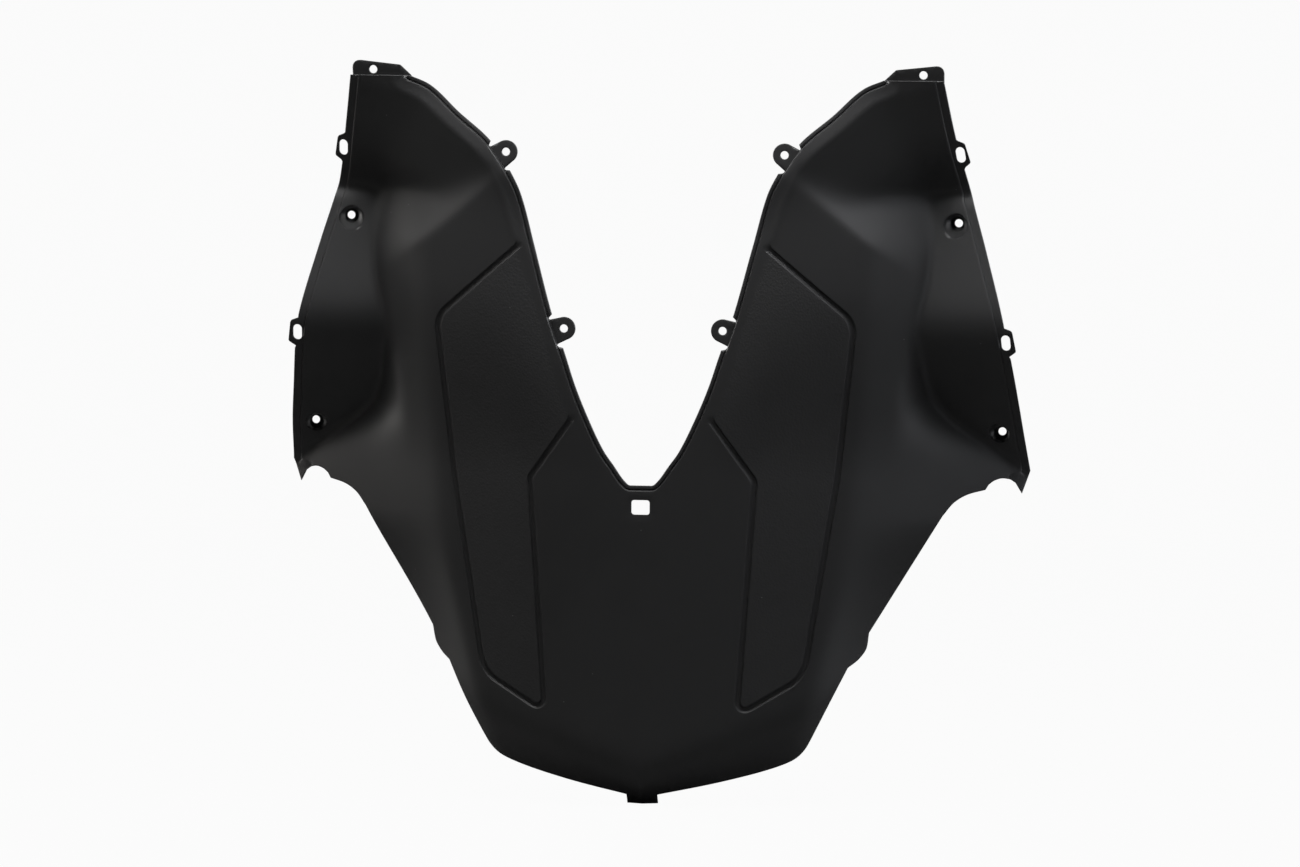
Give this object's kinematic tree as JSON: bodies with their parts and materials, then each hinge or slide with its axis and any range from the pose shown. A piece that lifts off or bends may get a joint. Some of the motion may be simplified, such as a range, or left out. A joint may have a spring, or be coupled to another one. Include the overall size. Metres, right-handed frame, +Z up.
{
  "type": "scooter leg shield",
  "caption": "Rider-side leg shield of a scooter: a black moulded panel with a deep V at the top for the steering column, folded side wings and screw ears.",
  "frame": {"origin": "midway between the two lower ear screws, on the front face of the ear plates", "axes": "+Z up, +X to the right as the rider sees the panel, -Y out of the seen face towards the rider"},
  "size_m": [0.5194, 0.1498, 0.5088],
  "materials": {
    "black_plastic": "satin-matte black moulded plastic, finely grained on the two side panels"
  },
  "bodies": {
    "root": {"leg_shield": "black_plastic"}
  },
  "joints": []
}
